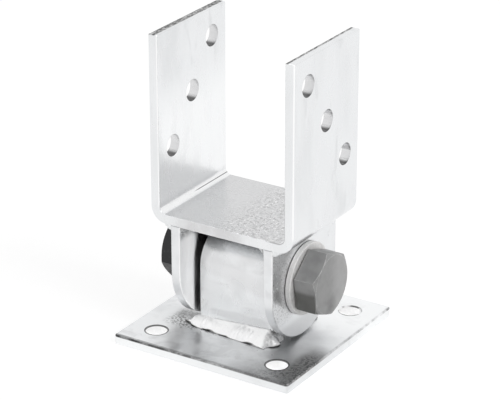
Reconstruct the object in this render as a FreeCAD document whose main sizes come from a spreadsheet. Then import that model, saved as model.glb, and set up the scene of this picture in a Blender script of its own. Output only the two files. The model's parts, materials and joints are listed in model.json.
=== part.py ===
import FreeCAD, Part
import math
import os

import Sketcher

# Hinged U-shaped base for a timber post.
#
# A square plate is bolted to the ground. A solid knuckle with a half-round top is welded upright on it.
# A folded strip forms the post saddle; two lugs welded under its web straddle the knuckle, and one hexagon
# bolt through lugs and knuckle is the hinge. The saddle tips to and fro about that bolt.
#
# Frame: origin at the middle of the plate's underside, +Z up, the hinge bolt along X with its head at +X.

# Driving sizes in millimetres: alias, value, meaning.
SIZES = (
    ("plate_width", 100.0, "base plate along X"),
    ("plate_depth", 100.0, "base plate along Y"),
    ("plate_thick", 5.0, "base plate sheet"),
    ("plate_corner", 1.5, "rounding of the plate's upright corners"),
    ("plate_hole", 11.0, "anchor hole diameter"),
    ("plate_hole_inset", 15.0, "anchor hole centres in from the plate's sides"),
    ("strip_width", 60.0, "saddle strip, and so the lugs, along Y"),
    ("strip_thick", 5.0, "saddle strip sheet"),
    ("post_width", 71.0, "clear width between the saddle's legs"),
    ("leg_height", 91.5, "legs above the web's upper face"),
    ("bend_radius", 3.5, "inside radius of the strip's folds"),
    ("leg_hole", 11.0, "screw hole diameter in the legs"),
    ("leg_hole_pitch_y", 17.5, "step of the leg holes along Y"),
    ("leg_hole_pitch_z", 23.0, "step of the leg holes along Z"),
    ("leg_hole_top", 14.0, "highest leg hole below the leg's top"),
    ("lug_thick", 5.0, "lug sheet"),
    ("lug_inset", 0.2, "flat web left between the outer lug weld and the fold"),
    ("washer_headroom", 3.7, "clear height between the washer and the outer lug weld"),
    ("lug_floor_gap", 1.0, "lug bottoms above the plate"),
    ("knuckle_gap", 3.0, "clear width between the knuckle and each lug"),
    ("knuckle_depth", 34.0, "knuckle along Y, and the diameter of its half-round top"),
    ("bolt_diameter", 20.0, "hinge bolt shank"),
    ("bolt_end", 3.0, "bolt tip past the nut"),
    ("bolt_flats", 30.0, "width across flats of bolt head and nut"),
    ("head_height", 12.5, "bolt head with its washer face"),
    ("head_face", 0.8, "washer face under the bolt head"),
    ("head_turn", 9.0, "turn of the bolt head about the bolt, degrees"),
    ("tip_chamfer", 1.6, "chamfer on the bolt's tip"),
    ("nut_height", 16.0, "nut"),
    ("nut_turn", 20.0, "turn of the nut about the bolt, degrees"),
    ("nut_bore_chamfer", 1.0, "chamfer on the nut's bore"),
    ("washer_diameter", 37.0, "washer under the bolt head"),
    ("washer_thick", 3.0, "washer"),
    ("hinge_clearance", 0.05, "radial running clearance of the bolt in the knuckle"),
    ("bolt_clearance", 0.25, "radial clearance of the bolt in lugs and washer"),
    ("thread_clearance", 0.05, "radial clearance of the bolt in the nut"),
    ("hex_chamfer", 30.0, "chamfer angle on hexagon corners, degrees"),
    ("knuckle_weld", 5.0, "leg of the knuckle's fillet welds"),
    ("knuckle_weld_crown", 0.9, "rise of those welds above a flat face"),
    ("weld_return", 4.0, "run-out of those welds along the knuckle's sides"),
    ("weld_runout", 2.0, "leg of the weld where a run-out ends"),
    ("inner_weld", 4.0, "leg of the welds between the lugs"),
    ("inner_weld_hollow", 0.8, "hollow of those welds below a flat face"),
    ("outer_weld", 2.8, "leg of the welds outside the lugs"),
    ("outer_weld_crown", 0.35, "rise of those welds above a flat face"),
    ("sheet_edge", 0.5, "rounding along sheared sheet edges"),
    ("knuckle_edge", 0.8, "rounding along the knuckle's edges"),
)

RIGHT_ANGLE = 90.0
HALF_TURN = 180.0
FULL_TURN = 360.0
LEFTWARDS = HALF_TURN
DOWNWARDS = HALF_TURN + RIGHT_ANGLE
HEXAGON_SIDES = 6
MM3_PER_CM3 = 1000
CUT_MARGIN = 2.0      # how far cutting tools reach past the metal
CORNER_BAND = 0.1     # ring cut by a hexagon chamfer, in widths across flats; the corners reach 0.08
TOUCH = 1e-4          # two coordinates this close are the same
ORIGIN_POINT = (-1, 1)
HORIZONTAL_AXIS = -1
VERTICAL_AXIS = -2
START, END, CENTRE = 1, 2, 3

doc = FreeCAD.newDocument("hinged_post_base")
sheet = doc.addObject("Spreadsheet::Sheet", "Sizes")
for row, (alias, value, meaning) in enumerate(SIZES, start=1):
    sheet.set(f"A{row}", meaning)
    sheet.set(f"B{row}", str(value))
    sheet.setAlias(f"B{row}", alias)
doc.recompute()

# Places shared by several pieces, as expressions on the sheet.
PIVOT_RISE = "(Sizes.lug_floor_gap + Sizes.strip_width / 2)"
PIVOT_HEIGHT = f"(Sizes.plate_thick + {PIVOT_RISE})"
LUG_RISE = "(Sizes.washer_diameter / 2 + Sizes.outer_weld + Sizes.washer_headroom)"
WEB_UNDERSIDE = f"({PIVOT_HEIGHT} + {LUG_RISE})"
LUG_OUTSIDE = "(Sizes.post_width / 2 - Sizes.bend_radius - Sizes.outer_weld - Sizes.lug_inset)"
LUG_MIDDLE = f"({LUG_OUTSIDE} - Sizes.lug_thick / 2)"
LUG_INSIDE = f"({LUG_OUTSIDE} - Sizes.lug_thick)"
KNUCKLE_SIDE = f"({LUG_INSIDE} - Sizes.knuckle_gap)"
BOLT_LENGTH = f"(2 * {LUG_OUTSIDE} + Sizes.washer_thick + Sizes.nut_height + Sizes.bolt_end)"


def size(alias):
    """The number in the sheet's cell of that alias."""
    return float(sheet.get(alias))


# ---------------------------------------------------------------- helpers

def new_body(label):
    """An empty body whose label is its node's name."""
    body = doc.addObject("PartDesign::Body", label)
    body.Label = label
    return body


def place(body, x="0", y="0", z="0"):
    """Bind the body's position to expressions on the sheet."""
    for axis, expression in zip("xyz", (x, y, z)):
        body.setExpression(f"Placement.Base.{axis}", expression)


def origin_feature(body, role):
    """The body's own origin plane or axis of that role."""
    return next(item for item in body.Origin.OriginFeatures if item.Role == role)


def new_sketch(body, name, plane, offset=(None, None, None)):
    """A sketch on one of the body's planes; offset holds expressions in the plane's own axes."""
    sketch = body.newObject("Sketcher::SketchObject", name)
    sketch.AttachmentSupport = [(origin_feature(body, plane), "")]
    sketch.MapMode = "FlatFace"
    for axis, expression in zip("xyz", offset):
        if expression:
            sketch.setExpression(f"AttachmentOffset.Base.{axis}", expression)
    return sketch


def point(x, y):
    """A point in a sketch."""
    return FreeCAD.Vector(x, y, 0)


def line(start, end):
    """A straight segment between two points of a sketch."""
    return Part.LineSegment(point(*start), point(*end))


def circle(centre, radius):
    """A circle in a sketch."""
    return Part.Circle(point(*centre), FreeCAD.Vector(0, 0, 1), radius)


def arc(centre, radius, start_deg, end_deg):
    """An anticlockwise arc."""
    return Part.ArcOfCircle(circle(centre, radius), math.radians(start_deg), math.radians(end_deg))


def bind(sketch, kind, geometry, expression, name):
    """A named dimension whose value follows the sheet."""
    index = sketch.addConstraint(Sketcher.Constraint(kind, *geometry, 1.0))
    sketch.renameConstraint(index, name)
    sketch.setExpression(f"Constraints.{name}", expression)


def rule(sketch, kind, *geometry):
    """A constraint without a value."""
    sketch.addConstraint(Sketcher.Constraint(kind, *geometry))


def closed_outline(sketch, segments):
    """Join segments end to end; each is (geometry, reversed, smooth joint with the next one)."""
    numbers = [sketch.addGeometry(geometry) for geometry, _, _ in segments]
    for position, (_, backwards, smooth) in enumerate(segments):
        following = (position + 1) % len(segments)
        leaves = START if backwards else END
        enters = END if segments[following][1] else START
        kind = "Tangent" if smooth else "Coincident"
        rule(sketch, kind, numbers[position], leaves, numbers[following], enters)
    for number, (geometry, _, _) in zip(numbers, segments):
        if isinstance(geometry, Part.LineSegment):
            run = geometry.EndPoint - geometry.StartPoint
            if abs(run.x) < TOUCH:
                rule(sketch, "Vertical", number)
            elif abs(run.y) < TOUCH:
                rule(sketch, "Horizontal", number)
    return numbers


def pad(body, name, sketch, length, both_ways=True):
    """Extrude a sketch, by default half of the length to each side of it."""
    feature = body.newObject("PartDesign::Pad", name)
    feature.Profile = sketch
    feature.Midplane = both_ways
    feature.setExpression("Length", length)
    doc.recompute()
    return feature


def cut_through(body, name, sketch, towards_normal):
    """Cut a sketch through everything on one side of its plane."""
    before = body.Shape.Volume
    feature = body.newObject("PartDesign::Pocket", name)
    feature.Profile = sketch
    feature.Type = "ThroughAll"
    feature.Reversed = towards_normal
    doc.recompute()
    require_cut(body, before, name)
    return feature


def round_edges(body, name, radius, wanted):
    """Fillet the edges of the body's tip that the test picks out."""
    tip = body.Tip
    names = [f"Edge{i}" for i, edge in enumerate(tip.Shape.Edges, start=1) if wanted(edge)]
    if not names:
        raise RuntimeError(f"{body.Label}: {name} finds no edge")
    feature = body.newObject("PartDesign::Fillet", name)
    feature.Base = (tip, names)
    feature.setExpression("Radius", radius)
    doc.recompute()
    return feature


def is_full_circle(edge):
    """True for an unbroken circle, such as the rim of a hole."""
    return isinstance(edge.Curve, Part.Circle) and edge.isClosed()


def is_at_end(edge, body, axis, ends=("Min", "Max")):
    """True when the whole edge lies at one of the body's outermost places along the axis."""
    low, high = getattr(edge.BoundBox, f"{axis}Min"), getattr(edge.BoundBox, f"{axis}Max")
    outermost = [getattr(body.Shape.BoundBox, axis + end) for end in ends]
    return any(abs(low - value) < TOUCH and abs(high - value) < TOUCH for value in outermost)


def is_rim(edge, body, axis, ends=("Min", "Max")):
    """True for an edge of the body's outline at its outermost places along the axis, holes left out."""
    return is_at_end(edge, body, axis, ends) and not is_full_circle(edge)


def require_cut(body, before, name):
    """Stop when a cut has left the body's volume as it was before."""
    if body.Shape.Volume > before - TOUCH:
        raise RuntimeError(f"{body.Label}: {name} removes nothing")


# ---------------------------------------------------------------- base

def make_base_plate():
    """Square plate with an anchor hole near each corner, its upper edges drawn round by the shear."""
    body = new_body("base_plate")
    half_x, half_y = size("plate_width") / 2, size("plate_depth") / 2
    outline = new_sketch(body, "PlateOutline", "XY_Plane")
    front, right, back, left = closed_outline(outline, (
        (line((-half_x, -half_y), (half_x, -half_y)), False, False),
        (line((half_x, -half_y), (half_x, half_y)), False, False),
        (line((half_x, half_y), (-half_x, half_y)), False, False),
        (line((-half_x, half_y), (-half_x, -half_y)), False, False),
    ))
    rule(outline, "Symmetric", front, START, back, START, *ORIGIN_POINT)
    bind(outline, "DistanceX", (front, START, front, END), "Sizes.plate_width", "width")
    bind(outline, "DistanceY", (right, START, right, END), "Sizes.plate_depth", "depth")
    pad(body, "Plate", outline, "Sizes.plate_thick", both_ways=False)

    holes = new_sketch(body, "AnchorHoles", "XY_Plane")
    inset = size("plate_hole_inset")
    for number, (sign_x, sign_y) in enumerate(((1, 1), (-1, 1), (-1, -1), (1, -1))):
        centre = (sign_x * (half_x - inset), sign_y * (half_y - inset))
        hole = holes.addGeometry(circle(centre, size("plate_hole") / 2))
        bind(holes, "Radius", (hole,), "Sizes.plate_hole / 2", f"radius_{number}")
        bind(holes, "DistanceX", (*ORIGIN_POINT, hole, CENTRE),
             f"{sign_x} * (Sizes.plate_width / 2 - Sizes.plate_hole_inset)", f"across_{number}")
        bind(holes, "DistanceY", (*ORIGIN_POINT, hole, CENTRE),
             f"{sign_y} * (Sizes.plate_depth / 2 - Sizes.plate_hole_inset)", f"along_{number}")
    cut_through(body, "Anchors", holes, towards_normal=True)

    round_edges(body, "Corners", "Sizes.plate_corner",
                lambda edge: is_at_end(edge, body, "X") and is_at_end(edge, body, "Y"))
    round_edges(body, "TopEdge", "Sizes.sheet_edge", lambda edge: is_rim(edge, body, "Z", ("Max",)))
    return body


def make_knuckle():
    """Upright block between the lugs: flat front and back, half-round top about the hinge axis."""
    body = new_body("hinge_knuckle")
    radius = size("knuckle_depth") / 2
    rise = size("lug_floor_gap") + size("strip_width") / 2
    profile = new_sketch(body, "KnuckleProfile", "YZ_Plane")
    foot, _, crown, _ = closed_outline(profile, (
        (line((-radius, 0), (radius, 0)), False, False),
        (line((radius, 0), (radius, rise)), False, True),
        (arc((0, rise), radius, 0, HALF_TURN), False, True),
        (line((-radius, rise), (-radius, 0)), False, False),
    ))
    rule(profile, "PointOnObject", foot, START, HORIZONTAL_AXIS)
    rule(profile, "PointOnObject", crown, CENTRE, VERTICAL_AXIS)
    bind(profile, "Radius", (crown,), "Sizes.knuckle_depth / 2", "crown")
    bind(profile, "DistanceY", (*ORIGIN_POINT, crown, CENTRE), PIVOT_RISE, "rise")
    bore = profile.addGeometry(circle((0, rise), size("bolt_diameter") / 2 + size("hinge_clearance")))
    rule(profile, "Coincident", bore, CENTRE, crown, CENTRE)
    bind(profile, "Radius", (bore,), "Sizes.bolt_diameter / 2 + Sizes.hinge_clearance", "bore")
    pad(body, "Block", profile, f"2 * {KNUCKLE_SIDE}")
    round_edges(body, "Edges", "Sizes.knuckle_edge",
                lambda edge: is_rim(edge, body, "X") and not is_at_end(edge, body, "Z", ("Min",)))
    place(body, z="Sizes.plate_thick")
    return body


def weld_section(body, name, plane, offset, leg, sagitta, hollow=False, mirrored=False):
    """Section of a fillet weld: two legs at right angles from the sketch's origin and a curved face.

    The legs lie along -x (or +x when mirrored) and +y. leg and sagitta are aliases; a hollow face curves
    towards the root.
    """
    sketch = new_sketch(body, name, plane, offset)
    reach, rise = size(leg), size(sagitta)
    radius = (reach ** 2 / 2 + rise ** 2) / (2 * rise)
    # The face's centre lies on the bisector of the two legs.
    to_centre = radius - rise
    along = (reach / math.sqrt(2) + (to_centre if hollow else -to_centre)) / math.sqrt(2)
    half_angle = math.degrees(math.asin(reach / math.sqrt(2) / radius))
    side = 1 if mirrored else -1
    facing = RIGHT_ANGLE / 2 if mirrored else RIGHT_ANGLE * 3 / 2
    if hollow:
        facing += HALF_TURN
    face = arc((side * along, along), radius, facing - half_angle, facing + half_angle)
    toe, top = (side * reach, 0), (0, reach)
    starts_at_toe = (face.StartPoint - point(*toe)).Length < (face.EndPoint - point(*toe)).Length
    flat, curved, upright = closed_outline(sketch, (
        (line((0, 0), toe), False, False),
        (face, not starts_at_toe, False),
        (line(top, (0, 0)), False, False),
    ))
    rule(sketch, "Coincident", flat, START, *ORIGIN_POINT)
    bind(sketch, "Distance", (flat,), f"Sizes.{leg}", "flat_leg")
    bind(sketch, "Distance", (upright,), f"Sizes.{leg}", "upright_leg")
    bind(sketch, "Radius", (curved,),
         f"(Sizes.{leg} ^ 2 / 2 + Sizes.{sagitta} ^ 2) / (2 * Sizes.{sagitta})", "face")
    return sketch


def make_knuckle_weld(label, turned):
    """Fillet weld along one face of the knuckle, round its two corners and tapering out at the sides."""
    body = new_body(label)
    front = "-Sizes.knuckle_depth / 2"
    run = weld_section(body, "RunSection", "YZ_Plane", (front, None, None),
                       "knuckle_weld", "knuckle_weld_crown")
    pad(body, "Run", run, f"2 * {KNUCKLE_SIDE}")

    turn = weld_section(body, "CornerSection", "YZ_Plane", (front, None, KNUCKLE_SIDE),
                        "knuckle_weld", "knuckle_weld_crown")
    corner = body.newObject("PartDesign::Revolution", "Corner")
    corner.Profile = turn
    corner.ReferenceAxis = (turn, ["V_Axis"])
    corner.Angle = RIGHT_ANGLE
    doc.recompute()

    # XZ_Plane faces -Y, so an offset along its normal is measured that way.
    thick_end = weld_section(body, "ReturnStart", "XZ_Plane",
                             (KNUCKLE_SIDE, None, "Sizes.knuckle_depth / 2"),
                             "knuckle_weld", "knuckle_weld_crown", mirrored=True)
    thin_end = weld_section(body, "ReturnEnd", "XZ_Plane",
                            (KNUCKLE_SIDE, None, "Sizes.knuckle_depth / 2 - Sizes.weld_return"),
                            "weld_runout", "knuckle_weld_crown", mirrored=True)
    run_out = body.newObject("PartDesign::AdditiveLoft", "RunOut")
    run_out.Profile = thick_end
    run_out.Sections = [thin_end]
    doc.recompute()

    other_side = body.newObject("PartDesign::Mirrored", "OtherSide")
    other_side.Originals = [corner, run_out]
    other_side.MirrorPlane = (origin_feature(body, "YZ_Plane"), [""])
    body.Tip = other_side
    doc.recompute()
    if turned:
        body.Placement = FreeCAD.Placement(FreeCAD.Vector(), FreeCAD.Rotation(HALF_TURN, 0, 0))
    place(body, z="Sizes.plate_thick")
    return body


# ---------------------------------------------------------------- saddle

def make_post_saddle():
    """One strip folded into a U: a web with two legs, three screw holes on a diagonal of each leg."""
    body = new_body("post_saddle")
    thick, inside = size("strip_thick"), size("bend_radius")
    outside = inside + thick
    half = size("post_width") / 2 + thick
    top = thick + size("leg_height")
    bend_x = half - outside
    profile = new_sketch(body, "SaddleProfile", "XZ_Plane")
    segments = closed_outline(profile, (
        (line((-half, top), (-half, outside)), False, True),
        (arc((-bend_x, outside), outside, LEFTWARDS, DOWNWARDS), False, True),
        (line((-bend_x, 0), (bend_x, 0)), False, True),
        (arc((bend_x, outside), outside, DOWNWARDS, FULL_TURN), False, True),
        (line((half, outside), (half, top)), False, False),
        (line((half, top), (half - thick, top)), False, False),
        (line((half - thick, top), (half - thick, outside)), False, True),
        (arc((bend_x, outside), inside, DOWNWARDS, FULL_TURN), True, True),
        (line((bend_x, thick), (-bend_x, thick)), False, True),
        (arc((-bend_x, outside), inside, LEFTWARDS, DOWNWARDS), True, True),
        (line((thick - half, outside), (thick - half, top)), False, False),
        (line((thick - half, top), (-half, top)), False, False),
    ))
    left_leg, left_bend, web_below, right_bend, right_leg = segments[:5]
    right_inside, right_fold, web_above, left_fold, left_inside = segments[6:11]
    rule(profile, "PointOnObject", web_below, START, HORIZONTAL_AXIS)
    rule(profile, "Symmetric", left_bend, CENTRE, right_bend, CENTRE, VERTICAL_AXIS)
    rule(profile, "Coincident", left_bend, CENTRE, left_fold, CENTRE)
    rule(profile, "Coincident", right_bend, CENTRE, right_fold, CENTRE)
    rule(profile, "Horizontal", left_leg, START, right_leg, END)
    bind(profile, "DistanceY", (*ORIGIN_POINT, right_leg, END),
         "Sizes.strip_thick + Sizes.leg_height", "overall_height")
    bind(profile, "DistanceY", (web_below, END, web_above, START), "Sizes.strip_thick", "thickness")
    bind(profile, "Radius", (right_fold,), "Sizes.bend_radius", "fold")
    bind(profile, "DistanceX", (left_inside, END, right_inside, START), "Sizes.post_width", "clear_width")
    pad(body, "Strip", profile, "Sizes.strip_width")

    # The two diagonals cross, so opposite screws pass each other in the post.
    for name, leg_sign in (("LeftHoles", -1), ("RightHoles", 1)):
        holes = new_sketch(body, name, "YZ_Plane")
        for step in (-1, 0, 1):
            down = f"(Sizes.leg_hole_top + {1 + step} * Sizes.leg_hole_pitch_z)"
            across = step * leg_sign
            centre = (across * size("leg_hole_pitch_y"),
                      top - size("leg_hole_top") - (1 + step) * size("leg_hole_pitch_z"))
            hole = holes.addGeometry(circle(centre, size("leg_hole") / 2))
            bind(holes, "Radius", (hole,), "Sizes.leg_hole / 2", f"radius_{step + 1}")
            bind(holes, "DistanceY", (*ORIGIN_POINT, hole, CENTRE),
                 f"Sizes.strip_thick + Sizes.leg_height - {down}", f"height_{step + 1}")
            if across:
                bind(holes, "DistanceX", (*ORIGIN_POINT, hole, CENTRE),
                     f"{across} * Sizes.leg_hole_pitch_y", f"across_{step + 1}")
            else:
                rule(holes, "PointOnObject", hole, CENTRE, VERTICAL_AXIS)
        cut_through(body, name + "Cut", holes, towards_normal=leg_sign > 0)

    round_edges(body, "ShearedEdges", "Sizes.sheet_edge",
                lambda edge: is_at_end(edge, body, "Y") or is_at_end(edge, body, "Z", ("Max",)))
    place(body, z=WEB_UNDERSIDE)
    return body


def make_lug(label, middle):
    """Flat lug under the web, as wide as the strip, half-round below, with the bolt's hole."""
    body = new_body(label)
    radius = size("strip_width") / 2
    rise = size("washer_diameter") / 2 + size("outer_weld") + size("washer_headroom")
    profile = new_sketch(body, "LugProfile", "YZ_Plane")
    below, right, _, _ = closed_outline(profile, (
        (arc((0, 0), radius, LEFTWARDS, FULL_TURN), False, True),
        (line((radius, 0), (radius, rise)), False, False),
        (line((radius, rise), (-radius, rise)), False, False),
        (line((-radius, rise), (-radius, 0)), False, True),
    ))
    rule(profile, "Coincident", below, CENTRE, *ORIGIN_POINT)
    bind(profile, "Radius", (below,), "Sizes.strip_width / 2", "round_end")
    bind(profile, "DistanceY", (right, START, right, END), LUG_RISE, "rise")
    hole = profile.addGeometry(circle((0, 0), size("bolt_diameter") / 2 + size("bolt_clearance")))
    rule(profile, "Coincident", hole, CENTRE, *ORIGIN_POINT)
    bind(profile, "Radius", (hole,), "Sizes.bolt_diameter / 2 + Sizes.bolt_clearance", "hole")
    pad(body, "Lug", profile, "Sizes.lug_thick")

    round_edges(body, "Edges", "Sizes.sheet_edge",
                lambda edge: is_rim(edge, body, "X") and not is_at_end(edge, body, "Z", ("Max",)))
    place(body, x=middle, z=PIVOT_HEIGHT)
    return body


def make_lug_weld(label, root, faces_right, leg, sagitta, hollow):
    """Straight weld in the corner between a lug and the web's underside."""
    body = new_body(label)
    section = weld_section(body, "Section", "XZ_Plane", (None, None, None), leg, sagitta, hollow,
                           mirrored=not faces_right)
    pad(body, "Bead", section, "Sizes.strip_width - 2 * Sizes.sheet_edge")
    # The section is drawn standing on its flat leg; turned over about Y, that leg lies under the web.
    turned_over = FreeCAD.Rotation(FreeCAD.Vector(0, 1, 0), HALF_TURN)
    body.Placement = FreeCAD.Placement(FreeCAD.Vector(), turned_over)
    place(body, x=root, z=WEB_UNDERSIDE)
    return body


# ---------------------------------------------------------------- hinge bolt, washer and nut

def lay_along_x(body, towards_right, x):
    """Lay a piece that was modelled standing on Z along the hinge axis."""
    turn = RIGHT_ANGLE if towards_right else -RIGHT_ANGLE
    body.Placement = FreeCAD.Placement(FreeCAD.Vector(), FreeCAD.Rotation(FreeCAD.Vector(0, 1, 0), turn))
    place(body, x=x, z=PIVOT_HEIGHT)


def add_standing(body, kind, name, height, base="0"):
    """A primitive on the body's XY plane, standing at the base height."""
    feature = body.newObject(f"PartDesign::{kind}", name)
    feature.AttachmentSupport = [(origin_feature(body, "XY_Plane"), "")]
    feature.MapMode = "FlatFace"
    feature.setExpression("Height", height)
    feature.setExpression("AttachmentOffset.Base.z", base)
    return feature


def add_hexagon(body, height, turn, base="0"):
    """Hexagon prism, its corners turned by the angle about Z."""
    prism = add_standing(body, "AdditivePrism", "Hexagon", height, base)
    prism.Polygon = HEXAGON_SIDES
    prism.setExpression("Circumradius", "Sizes.bolt_flats / sqrt(3)")
    prism.setExpression("AttachmentOffset.Rotation.Angle", turn)
    doc.recompute()


def add_cylinder(body, name, radius, height, base="0"):
    """Round stretch on Z."""
    cylinder = add_standing(body, "AdditiveCylinder", name, height, base)
    cylinder.setExpression("Radius", radius)
    doc.recompute()


def turn_corners(body, name, face_height, facing_up):
    """Turn the hexagon's corners to a cone that leaves a round face at that height."""
    before = body.Shape.Volume
    sketch = new_sketch(body, name + "Section", "XZ_Plane", (None, face_height, None))
    inner, band = size("bolt_flats") / 2, size("bolt_flats") * CORNER_BAND
    drop = band * math.tan(math.radians(size("hex_chamfer")))
    up = 1 if facing_up else -1
    over, outer, _, slant = closed_outline(sketch, (
        (line((inner, up * CUT_MARGIN), (inner + band, up * CUT_MARGIN)), False, False),
        (line((inner + band, up * CUT_MARGIN), (inner + band, -up * drop)), False, False),
        (line((inner + band, -up * drop), (inner, 0)), False, False),
        (line((inner, 0), (inner, up * CUT_MARGIN)), False, False),
    ))
    rule(sketch, "PointOnObject", slant, START, HORIZONTAL_AXIS)
    bind(sketch, "DistanceX", (*ORIGIN_POINT, slant, START), "Sizes.bolt_flats / 2", "round_face")
    bind(sketch, "DistanceX", (over, START, over, END), f"Sizes.bolt_flats * {CORNER_BAND}", "band")
    bind(sketch, "DistanceY", (*ORIGIN_POINT, over, START), f"{up * CUT_MARGIN}", "margin")
    bind(sketch, "DistanceY", (*ORIGIN_POINT, outer, END),
         f"{-up} * Sizes.bolt_flats * {CORNER_BAND} * tan(Sizes.hex_chamfer * 1 deg)", "drop")
    groove = body.newObject("PartDesign::Groove", name)
    groove.Profile = sketch
    groove.ReferenceAxis = (sketch, ["V_Axis"])
    groove.Angle = FULL_TURN
    doc.recompute()
    require_cut(body, before, name)
    return groove


def chamfer_edges(body, name, width, wanted):
    """Chamfer the edges of the body's tip that the test picks out."""
    tip = body.Tip
    names = [f"Edge{i}" for i, edge in enumerate(tip.Shape.Edges, start=1) if wanted(edge)]
    if not names:
        raise RuntimeError(f"{body.Label}: {name} finds no edge")
    feature = body.newObject("PartDesign::Chamfer", name)
    feature.Base = (tip, names)
    feature.setExpression("Size", width)
    doc.recompute()
    return feature


def make_bolt():
    """Hexagon bolt: washer face and head above its own origin, shank below, the tip chamfered."""
    body = new_body("hinge_bolt")
    add_cylinder(body, "WasherFace", "Sizes.bolt_flats / 2 - Sizes.head_face", "Sizes.head_height / 2")
    add_hexagon(body, "Sizes.head_height - Sizes.head_face", "Sizes.head_turn", base="Sizes.head_face")
    turn_corners(body, "HeadChamfer", "Sizes.head_height", facing_up=True)
    add_cylinder(body, "Shank", "Sizes.bolt_diameter / 2", BOLT_LENGTH, base=f"-{BOLT_LENGTH}")
    chamfer_edges(body, "TipChamfer", "Sizes.tip_chamfer",
                  lambda edge: is_at_end(edge, body, "Z", ("Min",)))
    lay_along_x(body, True, f"{LUG_OUTSIDE} + Sizes.washer_thick")
    return body


def make_nut():
    """Hexagon nut, chamfered on both faces, bearing straight on the left lug."""
    body = new_body("hinge_nut")
    add_hexagon(body, "Sizes.nut_height", "Sizes.nut_turn")
    turn_corners(body, "OuterChamfer", "Sizes.nut_height", facing_up=True)
    turn_corners(body, "InnerChamfer", None, facing_up=False)
    before = body.Shape.Volume
    bore = add_standing(body, "SubtractiveCylinder", "Bore", "Sizes.nut_height")
    bore.setExpression("Radius", "Sizes.bolt_diameter / 2 + Sizes.thread_clearance")
    doc.recompute()
    require_cut(body, before, "Bore")
    inside_flats = size("bolt_flats") / 2 - TOUCH
    chamfer_edges(body, "BoreChamfer", "Sizes.nut_bore_chamfer",
                  lambda edge: is_full_circle(edge) and edge.Curve.Radius < inside_flats)
    lay_along_x(body, False, f"-{LUG_OUTSIDE}")
    return body


def make_washer():
    """Flat round washer between the bolt's head and the right lug."""
    body = new_body("hinge_washer")
    ring = new_sketch(body, "Ring", "XY_Plane")
    rim = ring.addGeometry(circle((0, 0), size("washer_diameter") / 2))
    hole = ring.addGeometry(circle((0, 0), size("bolt_diameter") / 2 + size("bolt_clearance")))
    for number in (rim, hole):
        rule(ring, "Coincident", number, CENTRE, *ORIGIN_POINT)
    bind(ring, "Radius", (rim,), "Sizes.washer_diameter / 2", "rim")
    bind(ring, "Radius", (hole,), "Sizes.bolt_diameter / 2 + Sizes.bolt_clearance", "hole")
    pad(body, "Plate", ring, "Sizes.washer_thick", both_ways=False)
    outermost = size("washer_diameter") / 2 - TOUCH
    round_edges(body, "StampedEdge", "Sizes.sheet_edge",
                lambda edge: is_full_circle(edge) and edge.Curve.Radius > outermost)
    lay_along_x(body, True, LUG_OUTSIDE)
    return body


# ---------------------------------------------------------------- the whole part

def make_part():
    """Every piece, in the order in which it is put together."""
    pieces = [
        make_base_plate(),
        make_knuckle(),
        make_knuckle_weld("knuckle_weld_front", turned=False),
        make_knuckle_weld("knuckle_weld_rear", turned=True),
        make_post_saddle(),
    ]
    for side, sign in (("left", -1), ("right", 1)):
        pieces.append(make_lug(f"lug_{side}", f"{sign} * {LUG_MIDDLE}"))
        pieces.append(make_lug_weld(f"lug_weld_{side}_inner", f"{sign} * {LUG_INSIDE}", sign < 0,
                                    "inner_weld", "inner_weld_hollow", hollow=True))
        pieces.append(make_lug_weld(f"lug_weld_{side}_outer", f"{sign} * {LUG_OUTSIDE}", sign > 0,
                                    "outer_weld", "outer_weld_crown", hollow=False))
    pieces += [make_bolt(), make_washer(), make_nut()]
    doc.recompute()
    return pieces


def check(pieces):
    """Stop at a failed feature or a piece that isn't one sound solid."""
    for item in doc.Objects:
        if {"Invalid", "Error"} & set(item.State):
            raise RuntimeError(f"{item.Name} failed: {item.State}")
    for piece in pieces:
        shape = piece.Shape
        if shape.isNull() or not shape.isValid() or len(shape.Solids) != 1:
            raise RuntimeError(f"{piece.Label} isn't one sound solid")


parts = make_part()
check(parts)
os.makedirs("parts", exist_ok=True)
for part in parts:
    part.Shape.exportStep(f"parts/{part.Label}.step")
    print(f"{part.Label}: {part.Shape.Volume / MM3_PER_CM3:.2f} cm3")
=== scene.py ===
import json
import math
import random

import bpy
from bpy.props import FloatProperty, FloatVectorProperty, IntProperty, PointerProperty
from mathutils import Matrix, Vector


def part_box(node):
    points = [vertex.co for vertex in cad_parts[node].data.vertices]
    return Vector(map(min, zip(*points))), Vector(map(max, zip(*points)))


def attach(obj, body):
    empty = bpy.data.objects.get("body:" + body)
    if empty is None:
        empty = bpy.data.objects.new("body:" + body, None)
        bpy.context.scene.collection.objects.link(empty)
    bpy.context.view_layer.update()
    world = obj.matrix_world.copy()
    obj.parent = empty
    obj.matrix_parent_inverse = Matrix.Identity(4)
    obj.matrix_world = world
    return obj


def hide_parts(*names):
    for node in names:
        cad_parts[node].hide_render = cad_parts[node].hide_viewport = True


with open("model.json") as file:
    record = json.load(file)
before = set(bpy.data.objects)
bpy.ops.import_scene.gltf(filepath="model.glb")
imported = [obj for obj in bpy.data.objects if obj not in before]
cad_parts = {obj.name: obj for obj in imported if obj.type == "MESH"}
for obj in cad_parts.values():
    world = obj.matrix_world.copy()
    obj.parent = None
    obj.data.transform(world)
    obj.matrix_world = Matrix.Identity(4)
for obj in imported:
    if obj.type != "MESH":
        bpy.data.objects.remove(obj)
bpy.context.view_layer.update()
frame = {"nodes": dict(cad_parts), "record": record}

bl_info = {
    "name": "Hinged Post Base",
    "version": (1, 0, 0),
    "blender": (4, 5, 0),
    "location": "View3D > Sidebar > Post Base",
    "description": "Finishes, weld beads and studio for a hinged timber post base",
    "category": "Object",
}

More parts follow.
